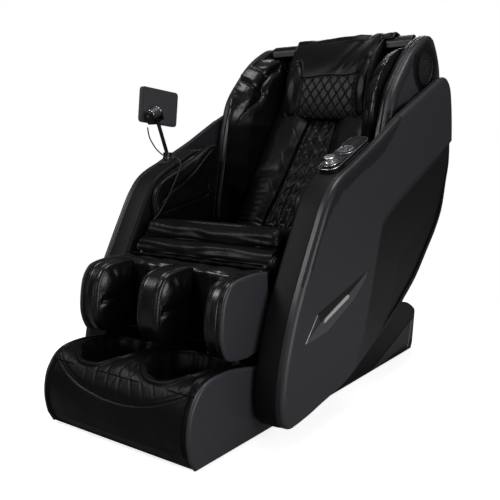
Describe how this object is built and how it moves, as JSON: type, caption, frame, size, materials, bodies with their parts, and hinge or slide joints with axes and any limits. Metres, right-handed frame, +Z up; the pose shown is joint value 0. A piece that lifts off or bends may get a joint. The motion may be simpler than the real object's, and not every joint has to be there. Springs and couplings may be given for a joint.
{
  "type": "massage chair",
  "caption": "Reclining massage chair with high curved side panels, padded calf troughs, a foot box on the leg rest, a winged back with head pillow, an arm control panel and a tablet arm.",
  "frame": {"origin": "on the floor under the middle of the chair's length and width", "axes": "+Z up; the chair faces -Y, so +Y is behind it; +X is the sitter's left, the control panel side"},
  "size_m": [0.7807, 1.39, 1.2],
  "materials": {
    "black_leather": "soft black synthetic leather, semi-gloss",
    "satin_black": "satin black moulded plastic",
    "charcoal": "matte charcoal moulded plastic",
    "dark_shell": "matte black moulded plastic",
    "frame_steel": "black powder-coated steel",
    "bright_steel": "bright ground steel",
    "silver_trim": "satin silver trim",
    "key_grey": "satin grey keys",
    "rubber": "black rubber",
    "screen": "dark glass",
    "motor_grey": "dark grey gear housing",
    "unit_steel": "plain sheet aluminium",
    "circuit_green": "circuit board and tray",
    "rocker_red": "dark red rocker"
  },
  "bodies": {
    "base": {"base_frame": "frame_steel", "base_cover": "dark_shell", "base_light_bars": "silver_trim", "levelling_feet": "rubber", "power_supply": "unit_steel", "control_unit": "circuit_green", "air_pump": "dark_shell", "power_inlet": "dark_shell"},
    "mains_rocker": {"mains_switch": "rocker_red"},
    "wheel_left": {"transport_wheel_left": "rubber"},
    "wheel_right": {"transport_wheel_right": "rubber"},
    "carriage": {"glide_frame": "frame_steel"},
    "tilt_motor": {"tilt_actuator_motor": "motor_grey"},
    "tilt_rod": {"tilt_actuator_rod": "bright_steel"},
    "seat": {"seat_frame": "frame_steel", "recline_actuator_motor": "motor_grey", "legrest_actuator_motor": "motor_grey", "seat_cushion": "black_leather", "side_panel_left": "charcoal", "side_panel_right": "charcoal", "accent_blades": "silver_trim", "armrest_left": "satin_black", "armrest_right": "satin_black", "arm_pad_left": "black_leather", "arm_pad_right": "black_leather", "control_panel": "dark_shell", "tablet_mount": "key_grey", "tablet_cable": "rubber"},
    "recline_rod": {"recline_actuator_rod": "bright_steel"},
    "legrest_rod": {"legrest_actuator_rod": "bright_steel"},
    "dial": {"dial_knob": "silver_trim"},
    "key_centre": {"key_centre": "key_grey"},
    "key_front": {"key_front": "key_grey"},
    "key_rear": {"key_rear": "key_grey"},
    "key_inner": {"key_inner": "key_grey"},
    "key_outer": {"key_outer": "key_grey"},
    "tablet_arm": {"tablet_arm": "dark_shell"},
    "tablet": {"tablet_housing": "dark_shell", "tablet_screen": "screen"},
    "backrest": {"back_frame": "frame_steel", "back_shell": "dark_shell", "wing_left": "dark_shell", "wing_right": "dark_shell", "speakers": "dark_shell", "back_cushion": "black_leather", "shoulder_pad_left": "black_leather", "shoulder_pad_right": "black_leather"},
    "pillow": {"head_pillow": "black_leather"},
    "massage": {"massage_carriage": "motor_grey"},
    "roller_left": {"massage_roller_left": "rubber"},
    "roller_right": {"massage_roller_right": "rubber"},
    "legrest": {"calf_frame": "frame_steel", "calf_shell": "charcoal", "calf_pad_left": "black_leather", "calf_pad_center": "black_leather", "calf_pad_right": "black_leather", "calf_cover": "black_leather"},
    "footbox": {"foot_housing": "charcoal", "foot_upholstery": "black_leather"},
    "foot_rollers": {"foot_rollers": "rubber"}
  },
  "joints": [
    {"name": "glide", "type": "slide", "parent": "base", "child": "carriage", "axis": [0, -1, 0], "range_m": [0, 0.11]},
    {"name": "tilt", "type": "hinge", "parent": "carriage", "child": "seat", "pos_m": [0, -0.01047, 0.2], "axis": [-1, 0, 0], "range_deg": [0, 15]},
    {"name": "tilt_motor_swing", "type": "hinge", "parent": "carriage", "child": "tilt_motor", "pos_m": [0, -0.12047, 0.104], "axis": [-1, 0, 0], "range_deg": [0, 9]},
    {"name": "tilt_rod_travel", "type": "slide", "parent": "tilt_motor", "child": "tilt_rod", "axis": [0, -0.1265, 0.992], "range_m": [0, 0.031]},
    {"name": "recline", "type": "hinge", "parent": "seat", "child": "backrest", "pos_m": [0, 0.14953, 0.45], "axis": [-1, 0, 0], "range_deg": [0, 35]},
    {"name": "recline_rod_travel", "type": "slide", "parent": "seat", "child": "recline_rod", "axis": [0, -1, 0], "range_m": [0, 0.075]},
    {"name": "legrest_lift", "type": "hinge", "parent": "seat", "child": "legrest", "pos_m": [0, -0.30547, 0.475], "axis": [-1, 0, 0], "range_deg": [0, 80]},
    {"name": "legrest_rod_travel", "type": "slide", "parent": "seat", "child": "legrest_rod", "axis": [0, -1, 0], "range_m": [0, 0.078]},
    {"name": "foot_extend", "type": "slide", "parent": "legrest", "child": "footbox", "axis": [0, 0, -1], "range_m": [0, 0.101]},
    {"name": "foot_roller_spin", "type": "hinge", "parent": "footbox", "child": "foot_rollers", "pos_m": [0, -0.53047, 0.036], "axis": [1, 0, 0], "continuous": true},
    {"name": "pillow_flip", "type": "hinge", "parent": "backrest", "child": "pillow", "pos_m": [0, 0.51853, 1.194], "axis": [-1, 0, 0], "range_deg": [0, 110]},
    {"name": "massage_travel", "type": "slide", "parent": "backrest", "child": "massage", "axis": [0, 0.5379, 0.843], "range_m": [-0.18, 0.2]},
    {"name": "knead_left", "type": "hinge", "parent": "massage", "child": "roller_left", "pos_m": [0.037, 0.33259, 0.6458], "axis": [1, 0, 0], "continuous": true},
    {"name": "knead_right", "type": "hinge", "parent": "massage", "child": "roller_right", "pos_m": [-0.037, 0.33259, 0.6458], "axis": [1, 0, 0], "continuous": true},
    {"name": "tablet_swivel", "type": "hinge", "parent": "seat", "child": "tablet_arm", "pos_m": [-0.345, -0.08247, 0.745], "axis": [0, 0, 1], "range_deg": [-60, 90]},
    {"name": "tablet_tilt", "type": "hinge", "parent": "tablet_arm", "child": "tablet", "pos_m": [-0.345, -0.14647, 0.905], "axis": [0, 0.9285, 0.3714], "range_deg": [-15, 60]},
    {"name": "dial_turn", "type": "hinge", "parent": "seat", "child": "dial", "pos_m": [0.328, -0.12345, 0.7492], "axis": [0, -0.4003, 0.9164], "continuous": true},
    {"name": "key_centre_press", "type": "slide", "parent": "seat", "child": "key_centre", "axis": [0, 0.4003, -0.9164], "range_m": [0, 0.0015]},
    {"name": "key_front_press", "type": "slide", "parent": "seat", "child": "key_front", "axis": [0, 0.4003, -0.9164], "range_m": [0, 0.0015]},
    {"name": "key_rear_press", "type": "slide", "parent": "seat", "child": "key_rear", "axis": [0, 0.4003, -0.9164], "range_m": [0, 0.0015]},
    {"name": "key_inner_press", "type": "slide", "parent": "seat", "child": "key_inner", "axis": [0, 0.4003, -0.9164], "range_m": [0, 0.0015]},
    {"name": "key_outer_press", "type": "slide", "parent": "seat", "child": "key_outer", "axis": [0, 0.4003, -0.9164], "range_m": [0, 0.0015]},
    {"name": "mains_rocker_tip", "type": "hinge", "parent": "base", "child": "mains_rocker", "pos_m": [0.15, 0.62953, 0.084], "axis": [1, 0, 0], "range_deg": [-8, 8]},
    {"name": "wheel_left_spin", "type": "hinge", "parent": "base", "child": "wheel_left", "pos_m": [0.264, 0.56553, 0.043], "axis": [1, 0, 0], "continuous": true},
    {"name": "wheel_right_spin", "type": "hinge", "parent": "base", "child": "wheel_right", "pos_m": [-0.264, 0.56553, 0.043], "axis": [1, 0, 0], "continuous": true}
  ],
  "couplings": [
    {"joint": "tilt_motor_swing", "follows": "tilt", "ratio": 0.5773},
    {"joint": "tilt_rod_travel", "follows": "tilt", "m_per_rad": 0.11459},
    {"joint": "recline_rod_travel", "follows": "recline", "m_per_rad": 0.12157},
    {"joint": "legrest_rod_travel", "follows": "legrest_lift", "m_per_rad": 0.05529},
    {"joint": "foot_extend", "follows": "legrest_lift", "m_per_rad": 0.07162},
    {"joint": "knead_right", "follows": "knead_left", "ratio": 1}
  ]
}
